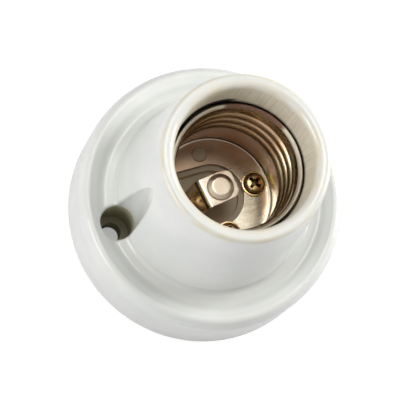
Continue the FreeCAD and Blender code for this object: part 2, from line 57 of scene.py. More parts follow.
def add_node(tree, kind, links=None, **settings):
    """Adds a node: settings are its properties, links are values or sockets for its inputs."""
    node = tree.nodes.new(kind)
    for name, value in settings.items():
        setattr(node, name, value)
    for socket, value in (links or {}).items():
        if isinstance(value, bpy.types.NodeSocket):
            tree.links.new(value, node.inputs[socket])
        else:
            node.inputs[socket].default_value = value
    return node


def new_material(name):
    """A material with an empty node tree, and the shaded point's place in millimetres."""
    material = bpy.data.materials.new(name)
    material.use_nodes = True
    tree = material.node_tree
    tree.nodes.clear()
    metres = add_node(tree, "ShaderNodeTexCoord").outputs["Object"]
    scaled = add_node(tree, "ShaderNodeVectorMath", {0: metres, "Scale": 1 / MM}, operation="SCALE")
    return material, tree, scaled.outputs["Vector"]


def set_surface(tree, colour, roughness, normal, **constants):
    """The surface shader: its colour, roughness and normal as sockets, the rest as constants."""
    links = {"Base Color": colour, "Roughness": roughness, "Normal": normal, **constants}
    surface = add_node(tree, "ShaderNodeBsdfPrincipled", links)
    add_node(tree, "ShaderNodeOutputMaterial", {"Surface": surface.outputs["BSDF"]})


def combined(tree, operation, first, *others):
    """Values joined one after another by one arithmetic operation."""
    whole = first
    for other in others:
        step = add_node(tree, "ShaderNodeMath", {0: whole, 1: other}, operation=operation)
        whole = step.outputs["Value"]
    return whole


def product(tree, *shares):
    """The shares multiplied together."""
    return combined(tree, "MULTIPLY", *shares)


def strongest(tree, *shares):
    """The greatest of the shares."""
    return combined(tree, "MAXIMUM", *shares)


def ramp(tree, value, low, high, first=0.0, last=1.0, curve="LINEAR"):
    """The value carried from the range low to high over to first to last, and held at both ends."""
    links = {"Value": value, "From Min": low, "From Max": high, "To Min": first, "To Max": last}
    return add_node(tree, "ShaderNodeMapRange", links, interpolation_type=curve).outputs["Result"]


def above(tree, value, limit, soft):
    """1 where the value is over the limit, fading to 0 over `soft` under it."""
    return ramp(tree, value, limit - soft, limit, curve="SMOOTHSTEP")


def below(tree, value, limit, soft):
    """1 where the value is under the limit, fading to 0 over `soft` past it."""
    return ramp(tree, value, limit, limit + soft, first=1.0, last=0.0, curve="SMOOTHSTEP")


def between(tree, value, low, high, soft):
    """1 where the value lies between low and high, fading to 0 over `soft` at each end."""
    return product(tree, above(tree, value, low, soft), below(tree, value, high, soft))


def coordinate(tree, place, axis):
    """One coordinate of the place: "X", "Y" or "Z"."""
    return add_node(tree, "ShaderNodeSeparateXYZ", {"Vector": place}).outputs[axis]


def distance_from_axis(tree, place, across=0.0):
    """Distance in plan from an upright axis that crosses the X axis at `across`."""
    moved = add_node(
        tree, "ShaderNodeVectorMath", {0: place, 1: (across, 0, 0)}, operation="SUBTRACT"
    ).outputs["Vector"]
    flat = add_node(
        tree, "ShaderNodeVectorMath", {0: moved, 1: (1, 1, 0)}, operation="MULTIPLY"
    ).outputs["Vector"]
    return add_node(tree, "ShaderNodeVectorMath", {0: flat}, operation="LENGTH").outputs["Value"]


def degrees_from(tree, place, azimuth):
    """Degrees round the lamp's axis, from -180 to 180, with 0 at the azimuth given."""
    turned = add_node(
        tree,
        "ShaderNodeVectorRotate",
        {"Vector": place, "Angle": -math.radians(azimuth)},
        rotation_type="Z_AXIS",
    ).outputs["Vector"]
    parts = add_node(tree, "ShaderNodeSeparateXYZ", {"Vector": turned}).outputs
    return product(tree, combined(tree, "ARCTAN2", parts["Y"], parts["X"]), math.degrees(1))


def unrolled(tree, place, degrees, rise):
    """Pattern coordinates round the lamp's axis: one step takes so many degrees, or so much rise."""
    around = product(tree, degrees_from(tree, place, 0), 1 / degrees)
    along = product(tree, coordinate(tree, place, "Z"), 1 / rise)
    return add_node(tree, "ShaderNodeCombineXYZ", {"X": around, "Z": along}).outputs["Vector"]


def stretched(tree, place, lengths):
    """Pattern coordinates along the axes: one step takes the length given for its axis."""
    steps = tuple(1 / length for length in lengths)
    return add_node(
        tree, "ShaderNodeVectorMath", {0: place, 1: steps}, operation="MULTIPLY"
    ).outputs["Vector"]


def noise(tree, place, size, detail):
    """Random patches about `size` millimetres across, nearly all of them between 0.3 and 0.7."""
    links = {"Vector": place, "Scale": 1 / size, "Detail": detail}
    return add_node(tree, "ShaderNodeTexNoise", links).outputs[0]


def tint(tree, share, under, over):
    """The colour `under`, covered by `over` in the share given. Both are hex codes or sockets."""
    under, over = [linear(c) if isinstance(c, str) else c for c in (under, over)]
    links = {"Factor": share, "A": under, "B": over}
    return add_node(tree, "ShaderNodeMix", links, data_type="RGBA").outputs["Result"]


def rounded(tree, radius, samples):
    """A normal that shades sharp edges as if they were rounded to the radius."""
    links = {"Radius": radius * MM}
    return add_node(tree, "ShaderNodeBevel", links, samples=samples).outputs["Normal"]


def bumped(tree, height, strength, rise, normal=None):
    """A normal that shades the surface as if it rose by `rise` where the height is 1."""
    links = {"Height": height, "Strength": strength, "Distance": rise * MM}
    if normal is not None:
        links["Normal"] = normal
    return add_node(tree, "ShaderNodeBump", links).outputs["Normal"]


# Heights and radii of the holder that its finishes follow, in millimetres.
RIM_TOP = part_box("porcelain_body")[1].z / MM
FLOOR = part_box("threaded_sleeve")[0].z / MM
LIP_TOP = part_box("threaded_sleeve")[1].z / MM
PLATE_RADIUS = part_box("sleeve_plate")[1].y / MM
BORE_RADIUS = 13.95
RIM_RADIUS = 16.85
RIDGE_RADIUS = 27.1
RIDGE_TOP = 16.8
VALLEY_INSIDE = 21.2
VALLEY_OUTSIDE = 24.4
VALLEY_BOTTOM = 15.0
VALLEY_TOP = 16.6
WELL_PLACE = 21.6
WELL_RADIUS = 3.7
WELL_FOOT = 0.5
WELL_MOUTH = 15.3
WIRING_RADIUS = 27.0
WIRING_TOP = 8.5
BUTTON_TOP = 1.9
BUTTON_FOOT = 2.8

# The azimuths that marks of use and painted shade lie round, in degrees.
GAP_SHADE_SIDE = 285
BROWN_SIDE = 245
STAINED_SIDE = 175
RUSTY_SIDE = 235
BUTTON_SHADE_SIDE = 250


def glazed_porcelain():
    """Hard white porcelain under a clear cool glaze that runs thin and creamy on its edges.

    The eye gets a wet gloss, a faint green-blue body colour, and dull bare clay in the bore,
    in the fixing wells and underneath, where the glaze was wiped off for firing.
    """
    material, tree, place = new_material("glazed porcelain")
    height = coordinate(tree, place, "Z")
    radius = distance_from_axis(tree, place)

    # The glaze drifts between two whites over about 14 mm.
    drift = ramp(tree, noise(tree, place, size=14, detail=2.0), 0.35, 0.65)
    glaze = tint(tree, drift, "#e1e3e0", "#e9eae7")
    # It gathers in the valley and at the foot of the tower, where it looks greyer; that grey is also
    # painted shade.
    pool_and_shade = product(
        tree,
        between(tree, radius, VALLEY_INSIDE, VALLEY_OUTSIDE, soft=1.2),
        between(tree, height, VALLEY_BOTTOM, VALLEY_TOP, soft=1.0),
    )
    glaze = tint(tree, pool_and_shade, glaze, "#dadbd6")

    # It runs thin on the ridge and on both edges of the rim, and the rim's flat top gets a painted
    # highlight, in rings that waver over 5 mm.
    waver = ramp(tree, noise(tree, place, size=5, detail=3.0), 0.35, 0.65, first=0.2)
    # Each ring: inner and outer radius, width of its fade, lowest height, colour, strength.
    thin_glaze_and_highlight_rings = (
        (RIDGE_RADIUS - 0.35, RIDGE_RADIUS + 0.35, 0.9, RIDGE_TOP - 1.2, "#e6e2d4", 0.3),
        (RIM_RADIUS - 0.5, RIM_RADIUS + 0.3, 0.4, RIM_TOP - 1.1, "#e3d9bf", 0.8),
        (BORE_RADIUS - 1.0, BORE_RADIUS + 1.1, 0.5, RIM_TOP - 2.0, "#e2d6ba", 0.85),
        # The rim's flat top: a lighter ring, which is a painted highlight.
        (BORE_RADIUS + 1.1, RIM_RADIUS - 0.8, 0.6, RIM_TOP - 0.5, "#efece0", 0.8),
    )
    for inner, outer, fade, lowest, cream_and_highlight, strength in thin_glaze_and_highlight_rings:
        ring = between(tree, radius, inner, outer, fade)
        level = above(tree, height, lowest, soft=0.5)
        glaze = tint(tree, product(tree, ring, level, waver, strength), glaze, cream_and_highlight)

    # Bare clay: bore, wells and underside.
    bore = product(
        tree,
        below(tree, radius, BORE_RADIUS + 0.45, soft=0.15),
        between(tree, height, WIRING_TOP, RIM_TOP - 1.9, soft=0.5),
    )
    well_level = between(tree, height, WELL_FOOT, WELL_MOUTH - 0.8, soft=0.6)
    wells = []
    for side in (1, -1):
        from_well = distance_from_axis(tree, place, side * WELL_PLACE)
        near = below(tree, from_well, WELL_RADIUS + 0.05, soft=0.1)
        wells.append(product(tree, near, well_level))
    well = strongest(tree, *wells)
    wiring = product(
        tree,
        below(tree, radius, WIRING_RADIUS, soft=0.2),
        below(tree, height, WIRING_TOP + 0.2, soft=0.1),
    )
    underside = strongest(tree, wiring, below(tree, height, 0.15, soft=0.3))
    bare = strongest(tree, bore, well, underside)

    # Throwing marks in the bore, 0.5 mm wide and 9 mm high.
    mark_place = unrolled(tree, place, degrees=math.degrees(0.5 / BORE_RADIUS), rise=9)
    marks = noise(tree, mark_place, size=1, detail=2.0)
    bore_clay = tint(tree, ramp(tree, marks, 0.3, 0.7), "#d6cdb8", "#e9e2d0")
    # The foot of the bore is painted warmer and browner: painted light, for the warm light that the
    # metal throws there.
    foot = between(tree, height, WIRING_TOP, FLOOR + 3.0, soft=4.0)
    bore_clay = tint(tree, foot, bore_clay, "#dccbae")
    # Painted shade lies in the gap where the lip meets the wall, and thicker on one side.
    thin_gap_shade = between(tree, height, LIP_TOP - 1.8, LIP_TOP - 1.0, soft=0.3)
    thick_gap_shade = product(
        tree,
        between(tree, height, LIP_TOP - 1.5, LIP_TOP + 0.8, soft=0.4),
        between(tree, degrees_from(tree, place, GAP_SHADE_SIDE), -25, 20, soft=12),
    )
    bore_clay = tint(tree, strongest(tree, thin_gap_shade, thick_gap_shade), bore_clay, "#2b231c")
    # Clay grain, 0.4 mm.
    grain = noise(tree, place, size=0.4, detail=3.0)
    grain_share = ramp(tree, grain, 0.3, 0.7)
    # The wells' clay is darker than the base's, partly as painted shade inside them.
    well_clay_and_shade = tint(tree, grain_share, "#a9a48c", "#bdb8a0")
    base_clay = tint(tree, grain_share, "#d6d1c3", "#e2ded2")

    colour = tint(tree, underside, glaze, base_clay)
    colour = tint(tree, bore, colour, bore_clay)
    colour = tint(tree, well, colour, well_clay_and_shade)
    gloss = ramp(tree, bare, 0.0, 1.0, first=0.16, last=0.62)
    # The glaze is a little uneven, over 7 mm, and the bare clay has its grain and marks.
    uneven = bumped(tree, noise(tree, place, size=7, detail=1.0), strength=0.25, rise=0.12)
    rough = product(tree, combined(tree, "ADD", grain, marks), bare)
    normal = bumped(tree, rough, strength=0.5, rise=0.1, normal=uneven)
    set_surface(tree, colour, gloss, normal, IOR=1.52)
    return material


def tarnish(tree, place):
    """The share of tarnish on nickel, which comes and goes over 5 mm."""
    return ramp(tree, noise(tree, place, size=5, detail=3.0), 0.4, 0.66)


def nickel_plate(name, pale, deep, marks, spun=False, edge=0.1, relief=None):
    """Nickel on pressed sheet, gone warm with age.

    The eye gets a soft mirror with faint lines along the rolling, or round the axis where the
    sheet was spun, and marks and painted light on it, each with its share, colour and roughness.
    The relief is a rise that the press has left round the axis: its inner and outer radius, and
    its height.
    """
    material, tree, place = new_material(name)
    # Lines 0.3 mm wide and about 12 mm long, which is 50 degrees round the sleeve.
    if spun:
        line_place = unrolled(tree, place, degrees=50, rise=0.3)
    else:
        line_place = stretched(tree, place, (12, 0.3, 0.3))
    lines = noise(tree, line_place, size=1, detail=2.0)
    colour = tint(tree, tarnish(tree, place), pale, deep)
    gloss = ramp(tree, lines, 0.3, 0.7, first=0.17, last=0.23)
    for share, stain, dullness in marks(tree, place):
        colour = tint(tree, share, colour, stain)
        links = {"Factor": share, "A": gloss, "B": dullness}
        gloss = add_node(tree, "ShaderNodeMix", links, data_type="FLOAT").outputs["Result"]
    normal = rounded(tree, edge, samples=6)
    normal = bumped(tree, lines, strength=0.04, rise=0.02, normal=normal)
    if relief is not None:
        inner, outer, rise = relief
        raised = ramp(tree, distance_from_axis(tree, place), inner, outer)
        normal = bumped(tree, raised, strength=1.0, rise=rise, normal=normal)
    set_surface(tree, colour, gloss, normal, Metallic=1.0)
    return material


def sleeve_marks_and_light(tree, place):
    """Brown all over one side, a copper-red stain, and a lip scuffed pale, its paleness partly a
    painted highlight, with rust on its edge.
    """
    height = coordinate(tree, place, "Z")
    lip = above(tree, height, LIP_TOP - 0.45, soft=0.3)
    brown_side = between(tree, degrees_from(tree, place, BROWN_SIDE), -45, 50, soft=25)
    stained_side = between(tree, degrees_from(tree, place, STAINED_SIDE), -13, 13, soft=7)
    stained_level = between(tree, height, FLOOR + 5.4, FLOOR + 8.9, soft=1.0)
    rusty_side = between(tree, degrees_from(tree, place, RUSTY_SIDE), -28, 25, soft=6)
    return (
        (product(tree, brown_side, 0.7), "#8a6444", 0.26),
        (product(tree, stained_side, stained_level, 0.8), "#9a5c38", 0.34),
        # The lip's paleness is wear and partly a painted highlight.
        (lip, "#ece6da", 0.5),
        (product(tree, rusty_side, lip, 0.85), "#80503f", 0.5),
    )


def plate_marks_and_light(tree, place):
    """Brown towards one side, a painted shade, and pale on the outer edge, a painted highlight."""
    # Painted shade: browner and darker towards one side.
    brown_side = below(tree, coordinate(tree, place, "Y"), -5.5, soft=4.5)
    # Painted highlight: a pale line along the outer edge.
    rubbed_and_highlight = above(tree, distance_from_axis(tree, place), PLATE_RADIUS - 0.22, soft=0.08)
    return (
        (product(tree, brown_side, 0.8), "#8a6444", 0.3),
        (rubbed_and_highlight, "#e9e0d0", 0.3),
    )


def contact_marks_and_light(tree, place):
    """Brown at the free end, a painted highlight that keeps the button's wall pale and dull, painted
    shade on one side of that wall, and a painted shade line round the button's foot.
    """
    radius = distance_from_axis(tree, place)
    free_end = between(tree, coordinate(tree, place, "X"), -6.0, -1.0, soft=1.2)
    far_side = between(tree, coordinate(tree, place, "Y"), -6.0, -3.2, soft=0.6)
    painted_button_wall = between(tree, radius, BUTTON_TOP, BUTTON_FOOT, soft=0.15)
    button_shade_side = between(tree, degrees_from(tree, place, BUTTON_SHADE_SIDE), -50, 50, soft=20)
    foot_crease_shade = between(tree, radius, BUTTON_FOOT - 0.12, BUTTON_FOOT + 0.1, soft=0.08)
    return (
        (product(tree, free_end, far_side, 0.8), "#7d5a40", 0.3),
        # Painted highlight: the button's wall kept pale.
        (painted_button_wall, "#e6dac8", 0.35),
        # Painted shade on one side of the button's wall.
        (product(tree, painted_button_wall, button_shade_side, 0.8), "#7d5a40", 0.45),
        # Painted shade in the crease at the button's foot.
        (product(tree, foot_crease_shade, 0.75), "#5f4a39", 0.5),
    )


def washer_marks(tree, place):
    """Duller where the screw has turned on them."""
    return ((product(tree, tarnish(tree, place), 0.4), "#8f7d68", 0.4),)


# The colours of the zinc's passive film, over its patches from 0 to 1.
ZINC_FILM = (
    (0.30, "#c9bd62"),
    (0.42, "#f0d885"),
    (0.50, "#f2cfa0"),
    (0.58, "#eeb5aa"),
    (0.66, "#d3cf7a"),
    (0.75, "#f2df95"),
)


def yellow_zinc():
    """Yellow passivated zinc on steel screws.

    The eye gets a brassy gloss that turns pink and green over about a millimetre.
    """
    material, tree, place = new_material("yellow zinc plate")
    film = add_node(tree, "ShaderNodeValToRGB", {0: noise(tree, place, size=1.1, detail=3.0)})
    stops = film.color_ramp.elements
    for stop, (position, code) in zip(stops, (ZINC_FILM[0], ZINC_FILM[-1])):
        stop.position = position
        stop.color = linear(code)
    for position, code in ZINC_FILM[1:-1]:
        stops.new(position).color = linear(code)
    # Painted shade darkens the groove and the cross, where other faces lie closer than 0.9 mm.
    open_share = add_node(
        tree, "ShaderNodeAmbientOcclusion", {"Distance": 0.9 * MM}, samples=8, only_local=True
    ).outputs["AO"]
    recess_shade = ramp(tree, open_share, 0.82, 0.55, last=0.95)
    colour = tint(tree, recess_shade, film.outputs["Color"], "#33240e")
    # Scuffs, 0.3 mm.
    scuff = noise(tree, place, size=0.3, detail=2.0)
    gloss = ramp(tree, scuff, 0.3, 0.7, first=0.18, last=0.36)
    normal = bumped(tree, scuff, strength=0.3, rise=0.03, normal=rounded(tree, 0.06, samples=4))
    set_surface(tree, colour, gloss, normal, Metallic=1.0)
    return material


def brass_strip():
    """Bare rolled brass, pressed to shape.

    The eye gets yellow metal with fine rolling lines along the strip and duller fingered patches.
    """
    material, tree, place = new_material("rolled brass")
    # Rolling lines: 0.2 mm wide and 10 mm long, along Y.
    lines = noise(tree, stretched(tree, place, (0.2, 10, 0.2)), size=1, detail=2.0)
    metal = tint(tree, ramp(tree, lines, 0.35, 0.65), "#c8a45a", "#dcbd78")
    # Fingered patches, 4 mm.
    patches = ramp(tree, noise(tree, place, size=4, detail=3.0), 0.45, 0.7, last=0.7)
    colour = tint(tree, patches, metal, "#a67f45")
    gloss = ramp(tree, lines, 0.3, 0.7, first=0.24, last=0.42)
    normal = bumped(tree, lines, strength=0.3, rise=0.02, normal=rounded(tree, 0.1, samples=4))
    set_surface(tree, colour, gloss, normal, Metallic=1.0)
    return material


def dress_nodes(zinc, spun_nickel):
    """Gives every carried-over solid its finish."""
    porcelain = glazed_porcelain()
    # The punch has left a burr on the plate's outer edge.
    plate_nickel = nickel_plate(
        "rolled nickel plate",
        pale="#f2ebd9",
        deep="#dccfb6",
        marks=plate_marks_and_light,
        relief=(PLATE_RADIUS - 0.45, PLATE_RADIUS, 0.06),
    )
    # The wall of the button is pressed softer than the plain cone under it.
    contact_nickel = nickel_plate(
        "rubbed nickel plate",
        pale="#cfc2ad",
        deep="#b9a891",
        marks=contact_marks_and_light,
        edge=0.3,
        relief=(BUTTON_TOP, BUTTON_FOOT, 0.6),
    )
    washer_nickel = nickel_plate(
        "dull nickel plate", pale="#bdb3a4", deep="#a79a88", marks=washer_marks
    )
    finishes = (
        (porcelain, ("porcelain_body",)),
        (spun_nickel, ("threaded_sleeve",)),
        (plate_nickel, ("sleeve_plate",)),
        (contact_nickel, ("centre_contact",)),
        (washer_nickel, ("live_clamp_washer", "neutral_clamp_washer")),
        (zinc, (*SCREWS, "side_shell_nut")),
        (brass_strip(), ("live_terminal", "neutral_terminal")),
    )
    for material, names in finishes:
        for name in names:
            for slot in nodes[name].material_slots:
                slot.material = material


# How far a level edge may lie from its height, and how close the points of a seam are, in
# millimetres.
LEVEL = 0.001
SEAM = 0.01
# A face looks straight up or down where its normal rises or falls by more than this.
STRAIGHT = 0.9


def only(piece):
    """Leaves one object selected and active."""
    bpy.ops.object.select_all(action="DESELECT")
    piece.select_set(True)
    bpy.context.view_layer.objects.active = piece


def edit_all():
    """Goes into edit mode with every point of the active object's mesh selected."""
    bpy.ops.object.mode_set(mode="EDIT")
    bpy.ops.mesh.select_mode(type="VERT")
    bpy.ops.mesh.select_all(action="SELECT")


def deselect_parts(piece, kind):
    """Makes a piece active, with nothing of its mesh selected and the select mode set to a kind."""
    only(piece)
    bpy.ops.object.mode_set(mode="EDIT")
    bpy.ops.mesh.select_mode(type=kind)
    bpy.ops.mesh.select_all(action="DESELECT")
    bpy.ops.object.mode_set(mode="OBJECT")


def pick_level_faces(piece, side):
    """Goes into edit mode with only those faces selected that look straight up, 1, or down, -1."""
    deselect_parts(piece, "FACE")
    for face in piece.data.polygons:
        face.select = side * face.normal.z > STRAIGHT
    bpy.ops.object.mode_set(mode="EDIT")


def pick_level_edges(piece, heights):
    """Goes into edit mode with only those edges selected that lie level at one of the heights.

    The heights are in millimetres over the floor of the bore.
    """
    deselect_parts(piece, "EDGE")
    vertices = piece.data.vertices
    for edge in piece.data.edges:
        ends = [vertices[index].co.z / MM - FLOOR for index in edge.vertices]
        edge.select = any(all(abs(end - height) < LEVEL for end in ends) for height in heights)
    bpy.ops.object.mode_set(mode="EDIT")


def settle():
    """Leaves edit mode and puts the active object's place into its mesh."""
    if bpy.context.mode != "OBJECT":
        bpy.ops.object.mode_set(mode="OBJECT")
    bpy.ops.object.transform_apply(location=True, rotation=True, scale=True)


def add_modifier(piece, kind, **settings):
    """Adds a modifier to a piece and applies it."""
    only(piece)
    modifier = piece.modifiers.new(kind.lower(), kind)
    for name, value in settings.items():
        setattr(modifier, name, value)
    bpy.ops.object.modifier_apply(modifier=modifier.name)


def wind(section, pitch, turns, steps):
    """Winds a section round the Z axis, upwards and right-handed."""
    add_modifier(
        section,
        "SCREW",
        angle=math.radians(360),
        screw_offset=pitch * MM,
        iterations=turns,
        steps=steps,
        render_steps=steps,
        use_merge_vertices=False,
    )


def dress(piece, name, finish, smooth):
    """Names a new piece and gives it its finish. Edges flatter than `smooth` degrees look round."""
    only(piece)
    bpy.ops.object.shade_smooth_by_angle(angle=math.radians(smooth))
    piece.name = piece.data.name = name
    piece.data.materials.clear()
    piece.data.materials.append(finish)


# The screws: sizes in millimetres, the head's underside at height 0.
SCREW_HEAD_RADIUS = 2.75
SCREW_HEAD_HEIGHT = 1.7
SCREW_HEAD_SIDES = 64
SCREW_RIM_HEIGHT = 0.55
# Each step of the head goes inwards and up: rim, groove, side of the pan, crown.
SCREW_HEAD_STEPS = (
    (0.08, 0.08),
    (0.26, 0.02),
    (0.05, -0.30),
    (0.16, 0.00),
    (0.05, 0.65),
    (0.07, 0.28),
    (0.14, 0.18),
    (0.30, 0.14),
    (0.50, 0.10),
)
SCREW_CORE_RADIUS = 1.2
SCREW_CORE_SIDES = 32
SCREW_POINT = 0.35
SCREW_IN_HEAD = 0.2
SCREW_SMOOTH = 32
# The small thread is a thin fin round the core, with its foot sunk into it.
SCREW_THREAD_RADIUS = 1.49
SCREW_THREAD_SUNK = 0.06
SCREW_THREAD_WIDTH = 0.084
SCREW_THREAD_PITCH = 0.5
SCREW_THREAD_STEPS = 24
# The punch of the cross. Its blades have a length and a width, and shares of them at the bottom.
PUNCH_BOTTOM = 0.45
PUNCH_TOP = 2.05
PUNCH_BLADE = (3.5, 0.8)
PUNCH_BLADE_TAPER = (0.42, 0.6)
PUNCH_CORE_BOTTOM = 0.34
PUNCH_CORE_TOP = 0.98
PUNCH_CORE_SIDES = 8
# Each screw: body that it rides on, whether its head hangs down, turn of its cross in degrees.
SCREWS = {
    "shell_screw": ("holder", False, 33),
    "side_shell_screw": ("holder", False, 70),
    "contact_screw": ("holder", False, 10),
    "live_clamp_screw": ("live_clamp", True, 25),
    "neutral_clamp_screw": ("neutral_clamp", True, 80),
}


def cross_punches():
    """The punch of a cross recess: two tapered blades and a tapered eight-sided core."""
    depth = PUNCH_TOP - PUNCH_BOTTOM
    middle = (0, 0, (PUNCH_BOTTOM + PUNCH_TOP) / 2 * MM)
    punches = []
    # One blade lies along X, and the other, with its sizes the other way round, along Y.
    for order in (1, -1):
        bpy.ops.object.select_all(action="DESELECT")
        size = (*PUNCH_BLADE[::order], depth)
        bpy.ops.mesh.primitive_cube_add(size=MM, location=middle, scale=size)
        blade = bpy.context.object
        settle()
        pick_level_faces(blade, -1)
        taper = (*PUNCH_BLADE_TAPER[::order], 1)
        bpy.ops.transform.resize(value=taper, center_override=(0, 0, PUNCH_BOTTOM * MM))
        settle()
        punches.append(blade)
    bpy.ops.object.select_all(action="DESELECT")
    bpy.ops.mesh.primitive_cone_add(
        vertices=PUNCH_CORE_SIDES,
        radius1=PUNCH_CORE_BOTTOM * MM,
        radius2=PUNCH_CORE_TOP * MM,
        depth=depth * MM,
        location=middle,
        rotation=(0, 0, math.pi / PUNCH_CORE_SIDES),
    )
    settle()
    punches.append(bpy.context.object)
    return punches


def screw_head():
    """A turned pan head: rolled rim, groove, crowned top and a punched cross."""
    bpy.ops.object.select_all(action="DESELECT")
    bpy.ops.mesh.primitive_cylinder_add(
        vertices=SCREW_HEAD_SIDES,
        radius=SCREW_HEAD_RADIUS * MM,
        depth=SCREW_RIM_HEIGHT * MM,
        location=(0, 0, SCREW_RIM_HEIGHT / 2 * MM),
    )
    head = bpy.context.object
    settle()
    pick_level_faces(head, 1)
    for inwards, up in SCREW_HEAD_STEPS:
        bpy.ops.mesh.inset(thickness=inwards * MM)
        bpy.ops.transform.translate(value=(0, 0, up * MM))
    settle()
    for punch in cross_punches():
        add_modifier(head, "BOOLEAN", object=punch, operation="DIFFERENCE", solver="EXACT")
        only(punch)
        bpy.ops.object.delete()
    return head


def threaded_shank(length):
    """The shank under a head: round core, pointed end and one right-hand thread."""
    bpy.ops.object.select_all(action="DESELECT")
    straight = length - SCREW_POINT + SCREW_IN_HEAD
    bpy.ops.mesh.primitive_cylinder_add(
        vertices=SCREW_CORE_SIDES,
        radius=SCREW_CORE_RADIUS * MM,
        depth=straight * MM,
        location=(0, 0, (SCREW_IN_HEAD - straight / 2) * MM),
    )
    shank = bpy.context.object
    settle()
    pick_level_faces(shank, -1)
    bpy.ops.mesh.inset(thickness=SCREW_POINT * MM)
    bpy.ops.transform.translate(value=(0, 0, -SCREW_POINT * MM))
    settle()

    # The thread's section stands on the core, and is wound upwards from the end of the point.
    foot = SCREW_CORE_RADIUS - SCREW_THREAD_SUNK
    reach = SCREW_THREAD_RADIUS - foot
    bpy.ops.object.select_all(action="DESELECT")
    bpy.ops.mesh.primitive_plane_add(
        size=MM,
        location=((foot + reach / 2) * MM, 0, (SCREW_POINT - length) * MM),
        rotation=(math.radians(90), 0, 0),
    )
    thread = bpy.context.object
    thread.scale = (reach, SCREW_THREAD_WIDTH, 1)
    settle()
    turns = int((length - 2 * SCREW_POINT) / SCREW_THREAD_PITCH)
    wind(thread, SCREW_THREAD_PITCH, turns, SCREW_THREAD_STEPS)
    edit_all()
    bpy.ops.mesh.fill_holes(sides=4)
    bpy.ops.mesh.normals_make_consistent(inside=False)
    settle()
    only(shank)
    thread.select_set(True)
    bpy.ops.object.join()
    return shank


def add_screws(finish):
    """The five screws: one head modelled, copied onto a shank of each screw's own length."""
    head = screw_head()
    for name, (body, hangs, turn) in SCREWS.items():
        low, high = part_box(name)
        shank = threaded_shank((high.z - low.z) / MM - SCREW_HEAD_HEIGHT)
        only(head)
        bpy.ops.object.duplicate()
        piece = bpy.context.object
        shank.select_set(True)
        bpy.ops.object.join()
        seat = low.z + SCREW_HEAD_HEIGHT * MM if hangs else high.z - SCREW_HEAD_HEIGHT * MM
        piece.rotation_euler = (math.pi if hangs else 0, 0, math.radians(turn))
        piece.location = ((low.x + high.x) / 2, (low.y + high.y) / 2, seat)
        settle()
        dress(piece, "turned_" + name, finish, SCREW_SMOOTH)
        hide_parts(name)
        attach(piece, body)
    only(head)
    bpy.ops.object.delete()


# The rolled sleeve: sizes in millimetres, radii to the sheet's inner face, heights over the floor
# of the bore.
SHEET = 0.35
SLEEVE_WALL = 13.25
SLEEVE_FOOT = 11.5
SLEEVE_STEPS = 96
SLEEVE_SMOOTH = 50
# The lamp thread. One of its crests stands at the height of its phase where the azimuth is 0.
THREAD_CREST = 12.2
THREAD_PITCH = 3.629
THREAD_PHASE = 9.8
THREAD_TURNS = 6
THREAD_BOTTOM = 10.9
THREAD_TOP = 23.0
THREAD_QUARTER_STEPS = 5
# The sleeve's two ends beyond the thread, as rings of radius and height.
FOOT_BEND = 0.3
FOOT_BEND_MIDDLE = 0.09
WALL_AND_FOOT = (
    (SLEEVE_WALL, 10.1),
    (SLEEVE_WALL, 5.0),
    (SLEEVE_WALL, SHEET + FOOT_BEND),
    (SLEEVE_WALL - FOOT_BEND_MIDDLE, SHEET + FOOT_BEND_MIDDLE),
    (SLEEVE_WALL - FOOT_BEND, SHEET),
    (SLEEVE_FOOT, SHEET),
)
FLARED_LIP = (
    (12.74, 23.8),
    (12.84, 24.2),
    (13.06, 24.6),
    (13.3, LIP_TOP - FLOOR),
)


def sweep(steps, degrees, radius, height):
    """Carries the selected point of a section round a centre in the plane of X and Z."""
    bpy.ops.mesh.spin(
        steps=steps,
        angle=math.radians(degrees),
        center=(radius * MM, 0, height * MM),
        axis=(0, -1, 0),
    )


def rolled_thread():
    """The round right-hand thread, cut level at both ends. Its crests and roots are equal arcs."""
    half = THREAD_PITCH / 2
    depth = SLEEVE_WALL - THREAD_CREST
    arc = (half ** 2 + depth ** 2) / (4 * depth)
    quarter = math.degrees(math.asin(half / 2 / arc))
    start = FLOOR + THREAD_PHASE - THREAD_PITCH
    bpy.ops.object.select_all(action="DESELECT")
    bpy.ops.mesh.primitive_plane_add(size=MM, location=(THREAD_CREST * MM, 0, start * MM))
    thread = bpy.context.object
    settle()
    edit_all()
    bpy.ops.mesh.merge(type="CENTER")
    sweep(THREAD_QUARTER_STEPS, quarter, THREAD_CREST + arc, start)
    sweep(2 * THREAD_QUARTER_STEPS, -2 * quarter, SLEEVE_WALL - arc, start + half)
    sweep(THREAD_QUARTER_STEPS, quarter, THREAD_CREST + arc, start + THREAD_PITCH)
    settle()
    wind(thread, THREAD_PITCH, THREAD_TURNS, SLEEVE_STEPS)
    edit_all()
    bpy.ops.mesh.remove_doubles(threshold=SEAM * MM)
    for height, side in ((THREAD_BOTTOM, -1), (THREAD_TOP, 1)):
        bpy.ops.mesh.select_all(action="SELECT")
        bpy.ops.mesh.bisect(
            plane_co=(0, 0, (FLOOR + height) * MM),
            plane_no=(0, 0, side),
            clear_outer=True,
            threshold=LEVEL * MM,
        )
    settle()
    return thread


